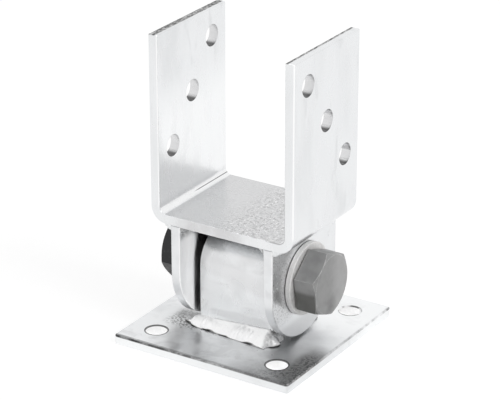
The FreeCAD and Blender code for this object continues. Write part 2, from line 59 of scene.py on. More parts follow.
MM = 0.001
SHEET = 5             # thickness of the saddle's strip, in millimetres
FOLD = 3.5            # radius inside the saddle's folds, in millimetres
STAND_OFF = 0.12      # how far the knuckle beads' roots stand in front of its face, as a share of their leg
SUNK = 0.1 * MM       # how far the knuckle's beads go into the plate
PROUD = 0.12 * MM     # how far the lug beads' ends stand past the lugs' edges
THREAD_DEPTH = 0.61   # depth of the bolt's thread as a share of its pitch
FLOOR_GAP = 0.2 * MM  # how far the floor lies below the plate
LUGS = ("lug_left", "lug_right")
LUG_WELDS = ("lug_weld_left_inner", "lug_weld_left_outer", "lug_weld_right_inner", "lug_weld_right_outer")


# ---------------------------------------------------------------- sizes and colours a user may change

class ZincSettings(bpy.types.PropertyGroup):
    """Finish of the zinc coated steel"""

    colour: FloatVectorProperty(name="Zinc colour", description="Colour of the clean zinc coat",
                                default=(0.81, 0.82, 0.83), subtype="COLOR", min=0, max=1)
    # the bright colour is also laid on as painted light, on the plate's rear quarter, the knuckle's lower
    # part and the left leg's inner face
    bright_and_lit_colour: FloatVectorProperty(name="Bright colour", description="Colour of the coat on narrow faces",
                                       default=(0.92, 0.93, 0.935), subtype="COLOR", min=0, max=1)
    dull_colour: FloatVectorProperty(name="Dull colour", description="Colour of the dull clouds in the coat",
                                     default=(0.68, 0.69, 0.70), subtype="COLOR", min=0, max=1)
    roughness: FloatProperty(name="Roughness", description="Roughness of the clean coat",
                             default=0.2, subtype="FACTOR", min=0, max=1)


class WeldSettings(bpy.types.PropertyGroup):
    """Shape of the weld beads"""

    knuckle_leg: FloatProperty(name="Knuckle bead", description="Leg of the knuckle's beads at the left",
                               default=4.7 * MM, subtype="DISTANCE", min=MM)
    knuckle_pitch: FloatProperty(name="Knuckle ripple", description="From one ripple of a bead to the next",
                                 default=2.4 * MM, subtype="DISTANCE", min=0.5 * MM)
    lug_pitch: FloatProperty(name="Lug ripple", description="From one ripple of a lug bead to the next",
                             default=1.9 * MM, subtype="DISTANCE", min=0.5 * MM)
    knuckle_swell: FloatProperty(name="Swell", description="Growth of a knuckle bead from left to right",
                                 default=0.6, subtype="FACTOR", min=0, max=1)
    grain: FloatProperty(name="Grain", description="Size of the cells that the beads are melted in",
                         default=0.3 * MM, subtype="DISTANCE", min=0.1 * MM)
    drops: IntProperty(name="Spatter", description="Beads of spatter on the plate", default=28, min=0)
    melt: IntProperty(name="Melt", description="How often a bead's surface is smoothed", default=1, min=0)


class HardwareSettings(bpy.types.PropertyGroup):
    """Bolt, washer and nut"""

    worn_edge: FloatProperty(name="Worn edge", description="Width of the rubbed edges on the bolt's head",
                             default=0.45 * MM, subtype="DISTANCE", min=0.05 * MM)
    thread_radius: FloatProperty(name="Thread radius", description="Outer radius of the bolt's thread",
                                 default=10 * MM, subtype="DISTANCE", min=MM)
    thread_pitch: FloatProperty(name="Thread pitch", description="From one thread to the next",
                                default=2.5 * MM, subtype="DISTANCE", min=0.5 * MM)

    bolt_colour: FloatVectorProperty(name="Bolt colour", description="Colour of the grey hexagon bolt",
                                     default=(0.36, 0.36, 0.36), subtype="COLOR", min=0, max=1)
    washer_colour: FloatVectorProperty(name="Washer colour", description="Colour of the flat washer",
                                       default=(0.95, 0.94, 0.93), subtype="COLOR", min=0, max=1)
    nut_colour: FloatVectorProperty(name="Nut colour", description="Colour of the blackened nut",
                                    default=(0.03, 0.03, 0.032), subtype="COLOR", min=0, max=1)


class StudioSettings(bpy.types.PropertyGroup):
    """Camera and light"""

    azimuth: FloatProperty(name="Azimuth", description="Camera's turn round the part, 0 looks along +Y",
                           default=math.radians(32.27), subtype="ANGLE")
    elevation: FloatProperty(name="Elevation", description="Camera's angle above the horizon",
                             default=math.radians(23.41), subtype="ANGLE")
    distance: FloatProperty(name="Distance", description="Camera from the part's origin along its view",
                            default=1.2, subtype="DISTANCE", min=0.1)
    aside: FloatProperty(name="Aside", description="Camera moved to its right",
                         default=-2.03 * MM, subtype="DISTANCE")
    raised: FloatProperty(name="Raised", description="Camera moved upwards across its view",
                          default=64.55 * MM, subtype="DISTANCE")
    lens: FloatProperty(name="Lens", description="Focal length in millimetres", default=172.9, min=1)
    sky: FloatProperty(name="Sky", description="Light that the surroundings give", default=0.5, min=0)


GROUPS = {
    "post_base_zinc": ZincSettings,
    "post_base_weld": WeldSettings,
    "post_base_hardware": HardwareSettings,
    "post_base_studio": StudioSettings,
}


# ---------------------------------------------------------------- materials

class Coat:
    """A material being built: its shader, and the Object coordinates in millimetres that feed it."""

    def __init__(self, name, metallic=1.0):
        self.material = bpy.data.materials.new(name)
        self.material.use_nodes = True
        self.tree = self.material.node_tree
        self.shader = self.tree.nodes["Principled BSDF"]
        self.shader.inputs["Metallic"].default_value = metallic
        self.place = self.turned(self.tree.nodes.new("ShaderNodeTexCoord").outputs["Object"],
                                 (1000, 1000, 1000))
        self.x, self.y, self.z = self.parts(self.place)
        self.side = self.math("ABSOLUTE", self.x)
        self.colour = (1.0, 1.0, 1.0)

    def put(self, target, value):
        """Set a socket to a number or colour, or link it to another socket."""
        if isinstance(value, bpy.types.NodeSocket):
            self.tree.links.new(value, target)
        elif hasattr(value, "__len__"):
            target.default_value = (*value, 1.0) if len(target.default_value) > len(value) else tuple(value)
        else:
            target.default_value = value

    def turned(self, source, scale=(1, 1, 1), shift=(0, 0, 0)):
        node = self.tree.nodes.new("ShaderNodeMapping")
        node.inputs["Scale"].default_value = scale
        node.inputs["Location"].default_value = shift
        self.put(node.inputs["Vector"], source)
        return node.outputs["Vector"]

    def parts(self, source):
        node = self.tree.nodes.new("ShaderNodeSeparateXYZ")
        self.put(node.inputs[0], source)
        return node.outputs[0], node.outputs[1], node.outputs[2]

    def math(self, operation, first, second=0.0):
        node = self.tree.nodes.new("ShaderNodeMath")
        node.operation = operation
        self.put(node.inputs[0], first)
        self.put(node.inputs[1], second)
        return node.outputs[0]

    def noise(self, size, detail=3.0, rough=0.5, stretch=(1, 1, 1), twist=0.0, shift=(0, 0, 0)):
        """Noise from 0 to 1 in lumps about size mm across, longer along an axis that stretch names."""
        texture = self.tree.nodes.new("ShaderNodeTexNoise")
        stretched = [1 / size / pull for pull in stretch]
        self.put(texture.inputs["Vector"], self.turned(self.place, stretched, shift))
        texture.inputs["Scale"].default_value = 1.0
        texture.inputs["Detail"].default_value = detail
        texture.inputs["Roughness"].default_value = rough
        texture.inputs["Distortion"].default_value = twist
        return texture.outputs["Fac"]

    def ramp(self, value, low, high, start=0.0, end=1.0):
        """Map low..high smoothly to start..end."""
        node = self.tree.nodes.new("ShaderNodeMapRange")
        node.interpolation_type = "SMOOTHSTEP"
        self.put(node.inputs["Value"], value)
        for socket, number in zip(("From Min", "From Max", "To Min", "To Max"), (low, high, start, end)):
            self.put(node.inputs[socket], number)
        return node.outputs["Result"]

    def fall(self, value, low, high):
        """1 up to low, falling smoothly to 0 at high."""
        return self.ramp(value, low, high, 1, 0)

    def length(self, first, second):
        squares = [self.math("POWER", value, 2.0) for value in (first, second)]
        return self.math("SQRT", self.math("ADD", *squares))

    def patches(self, size, low, high, start=0.0, end=1.0, **look):
        """Noise as noise() gives it, mapped as ramp() does."""
        return self.ramp(self.noise(size, **look), low, high, start, end)

    def times(self, *values):
        total = values[0]
        for value in values[1:]:
            total = self.math("MULTIPLY", total, value)
        return total

    def either(self, *values):
        total = values[0]
        for value in values[1:]:
            total = self.math("MAXIMUM", total, value)
        return total

    def within(self, value, low, high, soft):
        """1 between low and high, falling to 0 over soft on both sides."""
        return self.times(self.ramp(value, low - soft, low), self.fall(value, high, high + soft))

    def near(self, value, middle, reach):
        """1 at middle, falling to 0 at reach from it."""
        return self.fall(self.math("ABSOLUTE", self.math("SUBTRACT", value, middle)), 0, reach)

    def specks(self, size, share, shift=(0, 0, 0)):
        """Small separate specks; share is about how much of the surface they cover."""
        cut = 0.72 - 0.5 * share
        return self.ramp(self.noise(size, detail=2, rough=0.6, shift=shift), cut, cut + 0.06)

    def blend(self, amount, first, second):
        """Mix two colours: the first where the amount is 0, the second where it is 1."""
        node = self.tree.nodes.new("ShaderNodeMix")
        node.data_type = "RGBA"
        self.put(node.inputs["Factor"], amount)
        self.put(node.inputs[6], first)
        self.put(node.inputs[7], second)
        return node.outputs[2]

    def bumps(self, *layers):
        """Chain bump nodes; each layer is (height, depth in millimetres)."""
        normal = None
        for height, depth in layers:
            node = self.tree.nodes.new("ShaderNodeBump")
            self.put(node.inputs["Distance"], depth * MM)
            self.put(node.inputs["Height"], height)
            if normal:
                self.put(node.inputs["Normal"], normal)
            normal = node.outputs["Normal"]
        self.put(self.shader.inputs["Normal"], normal)

    def tint(self, mask, colour):
        """Lay another colour over the coat where the mask is 1."""
        self.colour = self.blend(mask, self.colour, colour)

    def mark(self, mask, tone, cover=1.0):
        """Lay a grey tone over the coat where the mask is 1; cover is how much it hides there."""
        self.tint(self.times(mask, cover), (tone, tone, tone * 1.01))

    def paint_light(self, mask, cover=1.0):
        """Paint light: lay white over the coat where the mask is 1; cover is how much."""
        self.tint(self.times(mask, cover), (1.0, 1.0, 1.0))

    def paint(self, roughness):
        """Put the colour and a roughness on the shader."""
        self.put(self.shader.inputs["Base Color"], self.colour)
        self.put(self.shader.inputs["Roughness"], roughness)


def wear(piece, material):
    """Give every slot of a piece the same material."""
    if not piece.data.materials:
        piece.data.materials.append(material)
    for number in range(len(piece.data.materials)):
        piece.data.materials[number] = material


def zinc_coat(coat, settings, streaks=(1, 1, 1)):
    """Give a coat the cloudy, smeared colour of zinc, and return its roughness and its bumps."""
    clouds = coat.patches(22, 0.45, 0.8, 0, 0.6, detail=3, twist=0.5, stretch=streaks)
    smears = coat.patches(7, 0.56, 0.72, 0, 0.5, detail=2, twist=0.4, stretch=streaks, shift=(3, 1, 2))
    coat.colour = coat.blend(coat.either(clouds, smears), settings.colour, settings.dull_colour)
    roughness = coat.patches(9, 0.3, 0.7, settings.roughness, settings.roughness + 0.12,
                             detail=2, stretch=streaks)
    bumps = [(coat.noise(14, detail=2), 0.1), (coat.noise(1.0, detail=3), 0.004)]
    return roughness, bumps


def rings(coat, holes, radius, across):
    """For round holes at the given centres: 1 inside them, and height above the centre over the radius."""
    inside = height = None
    for centre in holes:
        offsets = [coat.math("SUBTRACT", axis, place) for axis, place in zip(across, centre)]
        mask = coat.fall(coat.length(*offsets), radius + 0.05, radius + 0.3)
        level = coat.times(mask, offsets[1])
        inside = mask if inside is None else coat.either(inside, mask)
        height = level if height is None else coat.math("ADD", height, level)
    return inside, coat.math("DIVIDE", height, radius)


def anchor_holes():
    """Centres (x, y) of the plate's anchor holes and their radius, in millimetres."""
    for mount in frame["record"]["mounts"]:
        if mount["name"] == "base_bolts":
            dims = mount["dims"]
    across, along = dims["spacing_x_mm"] / 2, dims["spacing_y_mm"] / 2
    return [(side * across, end * along) for side in (-1, 1) for end in (-1, 1)], dims["hole_r_mm"]


def leg_holes(side):
    """Centres (y, z) of the holes in the left (-1) or right (1) leg and their radius, in millimetres."""
    places = []
    for mount in frame["record"]["mounts"]:
        x, y, z = (part / MM for part in mount["pos_m"])
        own = mount["name"].endswith("screw_hole") and x * side > 0
        if own or mount["name"] == "leg_middle_hole":
            places.append((y, z))
            radius = mount["dims"]["r_mm"]
    return places, radius


def plate_finish(settings):
    """Zinc on the base plate: painted dark reflection along the rounded edge, a painted dark reflection and
    shadow at the front right corner, painted shade beside the knuckle's foot, grit, rims.
    """
    coat = Coat("plate_zinc")
    roughness, bumps = zinc_coat(coat, settings)
    (left, front, _), (right, rear, top) = [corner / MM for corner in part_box("base_plate")]
    knuckle_left, knuckle_front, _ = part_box("hinge_knuckle")[0] / MM
    # painted dark reflection in lines where the top edge turns down at the front and the right, and in a
    # softer band behind the front one
    rounding = coat.within(coat.z, top - 0.9, top - 0.05, 0.15)
    front_line = coat.times(coat.fall(coat.y, front, front + 1.4), rounding,
                            coat.ramp(coat.x, left, right, 1, 0.6),
                            coat.patches(4, 0.3, 0.6, 0.45, 0.95, detail=5, rough=0.7))
    front_band = coat.times(coat.fall(coat.y, front + 1.3, front + 2.1),
                            coat.ramp(coat.z, top - 1.3, top - 1.0),
                            coat.ramp(coat.x, left + 2, right - 30, 1, 0.35),
                            coat.patches(3, 0.3, 0.6, 0.4, 1, detail=5, rough=0.7, shift=(2, 0, 4)))
    right_line = coat.times(coat.ramp(coat.x, right - 1.4, right), rounding,
                            coat.patches(14, 0.35, 0.7, detail=4, rough=0.7),
                            coat.ramp(coat.y, front + 10, rear - 10, 0.5, 0.8))
    # painted dark reflection of the bolt head and painted shadow of the right lug on the top face, round the
    # corner and a little way up the right edge
    round_corner = coat.times(coat.ramp(coat.x, right - 42, right - 8),
                              coat.fall(coat.y, front + 6, front + 30))
    along_right = coat.times(coat.ramp(coat.x, right - 13, right - 6),
                             coat.fall(coat.y, front + 26, front + 46))
    corner_reflection_and_shadow = coat.times(coat.either(round_corner, along_right), coat.ramp(coat.z, top - 1.5, top - 0.9),
                      coat.patches(9, 0.3, 0.6, 0.75, 1, detail=3))
    corner_shade_specks = coat.times(corner_reflection_and_shadow, coat.specks(1.2, 0.5))
    # grit all over, and painted shade with dark specks left of the knuckle's foot, under the left lug
    grit = coat.times(coat.specks(1.0, 0.1), coat.patches(16, 0.5, 0.65))
    under_lug_shade = coat.ramp(coat.y, knuckle_front - 3, knuckle_front + 5, 0, 0.6)
    under_lug_shade_and_specks = coat.times(coat.within(coat.x, knuckle_left - 13, knuckle_left - 1, 6),
                       coat.within(coat.y, knuckle_front - 5, knuckle_front + 7, 5),
                       coat.either(coat.specks(1.3, 0.5), under_lug_shade))
    # painted light on the anchor holes' walls, and dark rims round them
    centres, radius = anchor_holes()
    walls, _ = rings(coat, centres, radius, (coat.x, coat.y))
    rims, _ = rings(coat, centres, radius + 0.45, (coat.x, coat.y))
    rims = coat.times(rims, coat.ramp(coat.z, top - 0.8, top - 0.5),
                      coat.patches(9, 0.36, 0.52, detail=2, shift=(5, 2, 0)))
    # brighter front face, painted light on the rear right quarter, darker patches towards the front
    front_face = coat.times(coat.fall(coat.y, front, front + 0.3),
                            coat.ramp(coat.x, left, right, 1, 0.2))
    rear_quarter = coat.times(coat.ramp(coat.y, 0, 25), coat.ramp(coat.x, 0, 20), 0.9)
    dark_patches = coat.times(coat.patches(11, 0.48, 0.62, detail=4, rough=0.6, twist=0.8),
                        coat.ramp(coat.y, front + 4, front + 26, 1, 0.3),
                        coat.ramp(coat.z, top - 0.5, top - 0.2))
    # painted light on the rear right quarter; the front face in the bright coat
    coat.tint(coat.either(front_face, rear_quarter), settings.bright_and_lit_colour)
    coat.mark(dark_patches, tone=0.5, cover=0.35)
    # painted dark reflection of the bolt head and shadow of the right lug, broken by lighter specks
    coat.mark(corner_reflection_and_shadow, tone=0.11, cover=0.9)
    coat.mark(corner_shade_specks, tone=0.6, cover=0.5)
    coat.mark(grit, tone=0.35, cover=0.45)
    # painted shade under the left lug, with dark specks
    coat.mark(under_lug_shade_and_specks, tone=0.12, cover=0.7)
    # painted dark reflection in a band behind the front edge
    coat.mark(front_band, tone=0.14, cover=0.7)
    # painted light on the anchor holes' walls
    coat.paint_light(walls)
    # painted dark reflection along the rounded front and right edges, and dark rims round the anchor holes
    coat.mark(coat.either(front_line, right_line, coat.times(rims, 0.85)), tone=0.03)
    coat.paint(coat.math("ADD", roughness, 0.1))
    coat.bumps(*bumps)
    return coat.material


def knuckle_finish(settings):
    """Zinc on the knuckle: upright smears, a band of painted dark reflection, painted shade under the web and
    at the crown's right end, painted light low down.
    """
    coat = Coat("knuckle_zinc")
    roughness, bumps = zinc_coat(coat, settings, streaks=(1, 1, 2))
    (_, _, foot), (right, _, crown) = [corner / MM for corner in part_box("hinge_knuckle")]
    smears = coat.patches(9, 0.45, 0.62, detail=3, stretch=(3, 1, 1), twist=0.4)
    slope = coat.math("ADD", coat.z, coat.math("MULTIPLY", coat.x, 0.2))
    band = coat.within(slope, crown - 20, crown - 14, 4)
    shade = coat.times(coat.ramp(coat.z, crown - 7, crown),
                       coat.patches(3, 0.2, 0.6, 0.5, 0.9))
    corner = coat.times(coat.ramp(coat.x, right - 9, right),
                        coat.ramp(coat.z, crown - 16, crown - 8),
                        coat.patches(1.5, 0.35, 0.6, detail=4))
    # painted light on the knuckle's lower part
    coat.tint(coat.fall(coat.z, foot + 11, foot + 25), settings.bright_and_lit_colour)
    # upright smears, and a band of painted dark reflection across the middle
    coat.mark(coat.either(smears, band), tone=0.68, cover=0.5)
    # painted shade under the web and at the crown's right end
    coat.mark(coat.either(shade, coat.times(corner, 0.8)), tone=0.05)
    coat.paint(roughness)
    coat.bumps(*bumps)
    return coat.material


def saddle_finish(settings):
    """Zinc on the saddle: sheared leg ends, dark hole walls with painted shade, a broken crease between
    painted highlights in each fold, a gritty web.
    """
    coat = Coat("saddle_zinc")
    roughness, bumps = zinc_coat(coat, settings, streaks=(1, 1, 3))
    (_, front, _), (right, _, top) = [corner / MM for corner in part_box("post_saddle")]
    web_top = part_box("lug_left")[1][2] / MM + SHEET
    fold = right - SHEET - FOLD
    across = coat.math("SUBTRACT", coat.side, fold)
    upward = coat.math("SUBTRACT", coat.z, web_top + FOLD)
    # the web's top face, rougher towards the right
    web = coat.times(coat.fall(coat.z, web_top + 0.3, web_top + 0.6),
                     coat.ramp(coat.z, web_top - 0.6, web_top - 0.3),
                     coat.fall(coat.side, fold, fold + 1),
                     coat.fall(coat.math("ABSOLUTE", coat.y), -0.25 - front, -0.1 - front))
    rough = coat.times(web, coat.ramp(coat.x, -12, 8, 0.15, 1))
    grit = coat.times(rough, coat.either(coat.specks(1.7, 0.35), coat.specks(0.8, 0.3)))
    glints = coat.times(rough, coat.specks(1.5, 0.3, shift=(7, 3, 5)))
    # inside the folds: a painted highlight, with a crease that breaks up towards the front
    in_fold = coat.times(coat.ramp(across, 0.5, 1.0), coat.fall(upward, -1.0, -0.5),
                         coat.fall(coat.math("SUBTRACT", across, upward), 1.45 * FOLD, 1.5 * FOLD),
                         coat.ramp(coat.y, front + 0.4, front + 0.8))
    broken = coat.patches(5, 0.38, 0.5, 0.7, 0, detail=3, stretch=(1, 2.5, 1), shift=(1, 4, 0))
    crease = coat.times(in_fold, coat.near(coat.math("ADD", across, upward), 0.3, 0.45),
                        coat.either(coat.ramp(coat.y, -2, 4), broken))
    # front edges: an outline round the inside of the right fold, and painted highlights up the legs' corners
    corner = coat.fall(coat.y, front, front + 0.9)
    bend = coat.length(coat.either(across, 0.0), coat.math("MINIMUM", upward, 0.0))
    outline = coat.times(coat.near(bend, FOLD, 0.6), corner,
                         coat.ramp(coat.x, fold - 9, fold - 2), coat.fall(upward, 10, 30))
    leg_corners = coat.either(coat.near(coat.x, SHEET - right, 0.9), coat.near(coat.x, right, 0.9))
    edge = coat.times(corner, coat.ramp(upward, -2, 2), leg_corners)
    # the strip's front, darker along the middle of the web, and painted light on the left leg's inner face
    strip = coat.fall(coat.y, front, front + 0.3)
    dull_strip = coat.times(strip, coat.fall(coat.z, web_top - 0.5, web_top + 1.5),
                            coat.within(coat.x, -18, 6, 14),
                            coat.patches(8, 0.3, 0.6, 0.6, 1, detail=3))
    facing = coat.times(coat.fall(coat.x, 0, 1), coat.fall(coat.z, top - 50, top - 20),
                        coat.ramp(upward, -1, 3), coat.ramp(coat.y, front + 0.3, front + 0.6))
    # leg ends: torn over the outer part of the left leg's thickness and the inner part of the right one's
    torn_right = coat.times(coat.ramp(coat.x, 0, 1), coat.fall(coat.x, right - 3.6, right - 3.1))
    sheared = coat.times(coat.ramp(coat.z, top - 0.35, top - 0.1),
                         coat.either(coat.fall(coat.x, 3.3 - right, 4.0 - right), torn_right))
    torn = coat.patches(1.0, 0.42, 0.6, 1, 0, detail=5, rough=0.75, stretch=(1, 2, 1))
    # painted light on the left leg's inner face; the strip's front face in the bright coat
    coat.tint(coat.either(coat.times(facing, 0.8), coat.times(strip, 0.3)), settings.bright_and_lit_colour)
    coat.mark(dull_strip, tone=0.66)
    coat.mark(web, tone=0.62, cover=0.75)
    coat.mark(grit, tone=0.3, cover=0.5)
    coat.paint_light(glints, cover=0.5)
    # painted highlights inside the folds and up the legs' front corners
    coat.paint_light(coat.either(coat.times(in_fold, 0.5), edge))
    coat.mark(coat.either(crease, coat.times(outline, 0.6)), tone=0.04)
    for side, upper_shade in ((-1, 0.3), (1, 0.8)):
        places, radius = leg_holes(side)
        walls, height = rings(coat, places, radius, (coat.y, coat.z))
        walls = coat.times(walls, coat.ramp(coat.times(coat.x, side), 0, 1))
        shade = coat.either(coat.ramp(height, -0.95, -0.65, 0.9, 0),
                            coat.ramp(height, 0.55, 0.95, 0, upper_shade))
        coat.mark(walls, tone=0.72, cover=0.9)
        coat.mark(coat.times(walls, shade), tone=0.06)
    coat.tint(sheared, coat.blend(torn, (0.56, 0.56, 0.56), (0.13, 0.13, 0.13)))
    coat.paint(coat.ramp(sheared, 0, 1, roughness, 0.6))
    coat.bumps(*bumps, (coat.times(torn, sheared), 0.12), (grit, 0.05))
    return coat.material


def lug_finish(settings):
    """Rougher zinc on the lugs: painted shade and grit beside the washer, painted light on the inner faces,
    painted shade below the web, a painted shadow beside the knuckle.
    """
    coat = Coat("lug_zinc")
    roughness, bumps = zinc_coat(coat, settings)
    (_, front, bottom), (right, _, top) = [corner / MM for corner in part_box("lug_right")]
    knuckle_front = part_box("hinge_knuckle")[0][1] / MM
    outer = coat.ramp(coat.side, right - 0.5, right - 0.2)
    inner = coat.fall(coat.side, right - SHEET + 0.2, right - SHEET + 0.5)
    # outer face: painted shade and grit in front of the washer, darker below it
    beside = coat.times(outer, coat.fall(coat.y, knuckle_front + 2, knuckle_front + 8),
                        coat.ramp(coat.z, bottom + 10, bottom + 17))
    shade = coat.times(beside, coat.patches(5, 0.3, 0.6, 0.45, 0.9))
    grit = coat.times(beside, coat.specks(0.8, 0.35))
    end = coat.times(outer, coat.fall(coat.z, bottom + 8, bottom + 12))
    # inner face: streaks, painted shade below the web, and a painted shadow in the narrow gap beside the
    # knuckle
    streaks = coat.times(inner, coat.patches(2.5, 0.45, 0.65, detail=3, stretch=(1, 1, 4)))
    under_web_shade = coat.times(inner, coat.ramp(coat.z, top - 9, top - 4),
                      coat.ramp(coat.y, front, front + 2),
                      coat.patches(3, 0.3, 0.6, 0.4, 1, detail=4))
    gap_shadow = coat.times(inner, coat.within(coat.y, knuckle_front + 4, -knuckle_front - 4, 5))
    hollow = coat.times(inner, coat.ramp(coat.y, front, knuckle_front + 4))
    # front edge: cloudy strip; on the right lug a dark inner corner and a painted highlight on the outer one
    strip = coat.times(coat.fall(coat.y, front, front + 0.3),
                       coat.patches(6, 0.4, 0.65, detail=4))
    crack = coat.times(coat.near(coat.x, right - SHEET, 0.5), coat.fall(coat.y, front, front + 0.8))
    edge = coat.times(coat.fall(coat.y, front, front + 0.9), coat.near(coat.x, right, 0.9))
    coat.mark(shade, tone=0.6, cover=0.5)
    coat.mark(grit, tone=0.15, cover=0.4)
    coat.mark(end, tone=0.64, cover=0.65)
    # painted light over the whole inner face
    coat.paint_light(inner)
    coat.mark(streaks, tone=0.7, cover=0.1)
    # painted shade below the web
    coat.mark(under_web_shade, tone=0.12, cover=0.65)
    # painted highlight on the right lug's outer front corner
    coat.paint_light(edge, cover=0.8)
    coat.mark(strip, tone=0.7, cover=0.3)
    # painted shadow in the gap beside the knuckle, and the dark inner corner of the right lug
    coat.mark(coat.either(coat.times(gap_shadow, 0.52), coat.times(crack, 0.55)), tone=0.04)
    coat.paint(coat.math("ADD", roughness, 0.08))
    coat.bumps(*bumps, (grit, 0.05), (hollow, 4.5))
    return coat.material


def weld_finish(name, settings, toe_depth=0.8, shine=0.0, under_web_shade=0.0):
    """Zinc over weld metal: fine grit, painted shade for about toe_depth mm above the plate, painted shade
    speckled at the right end. shine brightens it all over, and the last argument sets how much painted shade
    lies between the lugs."""
    coat = Coat(name)
    roughness, bumps = zinc_coat(coat, settings)
    grit = coat.specks(0.7, 0.12)
    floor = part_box("base_plate")[1][2] / MM
    knuckle_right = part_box("hinge_knuckle")[1][0] / MM
    lug_inside, lug_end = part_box("lug_right")[0][0] / MM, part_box("lug_right")[1][1] / MM
    wave = coat.patches(8, 0.3, 0.7, -0.45 * toe_depth, 0.45 * toe_depth, detail=1)
    height = coat.math("ADD", coat.z, wave)
    toe_shade = coat.times(coat.fall(height, floor + toe_depth / 3, floor + toe_depth),
                     coat.patches(6, 0.3, 0.5, 0.3, 1, detail=1))
    between = coat.times(coat.fall(coat.side, lug_inside - 0.5, lug_inside),
                         coat.patches(2.5, 0.3, 0.6, 0.4, 1, detail=3))
    ends = coat.fall(coat.math("ABSOLUTE", coat.y), lug_end - 0.4, lug_end - 0.2)
    right_end_shade = coat.times(coat.ramp(coat.x, knuckle_right - 2.5, knuckle_right + 0.5),
                           coat.fall(coat.z, floor + 9, floor + 11),
                           coat.patches(1.6, 0.3, 0.6, 0.45, 0.9, detail=4))
    coat.tint(coat.times(ends, 0.8), settings.bright_and_lit_colour)
    coat.tint(shine, (1.0, 1.0, 1.0))
    coat.mark(grit, tone=0.45, cover=0.35)
    # painted shade on the beads between the lugs
    coat.mark(between, tone=0.2, cover=under_web_shade)
    # painted shade, speckled, at the right end of the knuckle beads
    coat.mark(right_end_shade, tone=0.38)
    # painted shade along the toe on the plate
    coat.mark(toe_shade, tone=0.04)
    coat.paint(coat.math("ADD", roughness, 0.28))
    coat.bumps(*bumps, (coat.noise(1.2, detail=4), 0.05))
    return coat.material


def bolt_finish(settings):
    """Grey bolt: soft patches, rubbed end face, painted shade on the lower flats, a painted contact shadow
    where it meets the washer.
    """
    coat = Coat("bolt_grey", metallic=0.2)
    patches = coat.patches(7, 0.35, 0.7, detail=3)
    darker = [part * 0.82 for part in settings.bolt_colour]
    coat.colour = coat.blend(patches, settings.bolt_colour, darker)
    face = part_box("hinge_bolt")[1][0] / MM
    axis = (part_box("hinge_nut")[0][2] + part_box("hinge_nut")[1][2]) / 2 / MM
    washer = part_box("hinge_washer")[1][0] / MM
    lower_flats_shade = coat.times(coat.fall(coat.x, face - 0.9, face - 0.5),
                       coat.fall(coat.z, axis - 2, axis + 1), coat.fall(coat.y, -6, 0))
    end_face = coat.ramp(coat.x, face - 0.3, face - 0.1)
    rubbed = coat.times(end_face, coat.ramp(coat.y, -4, 8))
    dim = coat.times(end_face, coat.near(coat.y, 0, 6), coat.fall(coat.z, axis - 9, axis - 2),
                     coat.patches(4, 0.3, 0.6, 0.5, 1))
    seam = coat.fall(coat.x, washer + 0.3, washer + 0.6)
    coat.tint(coat.times(rubbed, 0.5), (0.6, 0.6, 0.6))
    coat.mark(dim, tone=0.1, cover=0.35)
    # painted shade on the lower flats of the head
    coat.tint(coat.times(lower_flats_shade, 0.75), (0.1, 0.1, 0.09))
    # painted contact shadow where the head meets the washer
    coat.mark(seam, tone=0.01, cover=0.95)
    coat.paint(coat.patches(3, 0.3, 0.7, 0.36, 0.5))
    coat.bumps((coat.noise(6, detail=3), 0.05), (coat.noise(0.9, detail=4), 0.01))
    return coat.material


def worn_edge_finish(settings):
    """Bolt coat rubbed pale along the edges, here and there down to bare metal."""
    coat = Coat("bolt_worn_edge", metallic=0.6)
    rubbed = coat.patches(2.5, 0.35, 0.6, detail=4)
    paler = [part * 1.3 for part in settings.bolt_colour]
    coat.colour = coat.blend(rubbed, paler, (0.9, 0.89, 0.88))
    coat.paint(0.4)
    coat.bumps((coat.noise(0.9, detail=4), 0.01))
    return coat.material


def washer_finish(settings):
    """Duller zinc on the washer, streaked round its rim, with a painted contact shadow where it meets the
    lug.
    """
    coat = Coat("washer_zinc", metallic=0.25)
    streaks = coat.patches(3, 0.42, 0.62, detail=5, rough=0.65, stretch=(0.25, 1, 1))
    duller = [part * 0.88 for part in settings.washer_colour]
    coat.colour = coat.blend(streaks, settings.washer_colour, duller)
    lug_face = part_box("hinge_washer")[0][0] / MM
    # painted contact shadow where the washer meets the lug
    coat.mark(coat.fall(coat.x, lug_face + 0.2, lug_face + 0.45), tone=0.01)
    coat.paint(coat.patches(3, 0.3, 0.7, 0.4, 0.5))
    coat.bumps((coat.noise(4, detail=3), 0.04), (coat.noise(0.9, detail=4), 0.02))
    return coat.material


def nut_finish(settings):
    """Blackened nut with a faint sheen."""
    coat = Coat("nut_black", metallic=0.4)
    rubbed = coat.patches(2.2, 0.55, 0.75, detail=5)
    paler = [part * 2.4 for part in settings.nut_colour]
    coat.colour = coat.blend(rubbed, settings.nut_colour, paler)
    coat.paint(coat.patches(3, 0.3, 0.7, 0.38, 0.5))
    coat.bumps((coat.noise(1.1, detail=4), 0.015))
    return coat.material


# ---------------------------------------------------------------- modelling

def deselect():
    """Leave nothing selected."""
    for item in bpy.context.selected_objects:
        item.select_set(False)


def activate(piece):
    deselect()
    piece.select_set(True)
    bpy.context.view_layer.objects.active = piece


def finished(piece, name):
    """Name a piece and put its place into its mesh."""
    activate(piece)
    bpy.ops.object.transform_apply(location=True, rotation=True, scale=True)
    piece.name = piece.data.name = name
    return piece


def copy_of_node(node):
    """Copy a CAD node and merge its loose triangles."""
    activate(frame["nodes"][node])
    bpy.ops.object.duplicate()
    piece = bpy.context.object
    bpy.ops.object.mode_set(mode="EDIT")
    bpy.ops.mesh.select_all(action="SELECT")
    bpy.ops.mesh.remove_doubles(threshold=0.001 * MM)
    bpy.ops.mesh.customdata_custom_splitnormals_clear()
    bpy.ops.object.mode_set(mode="OBJECT")
    return piece


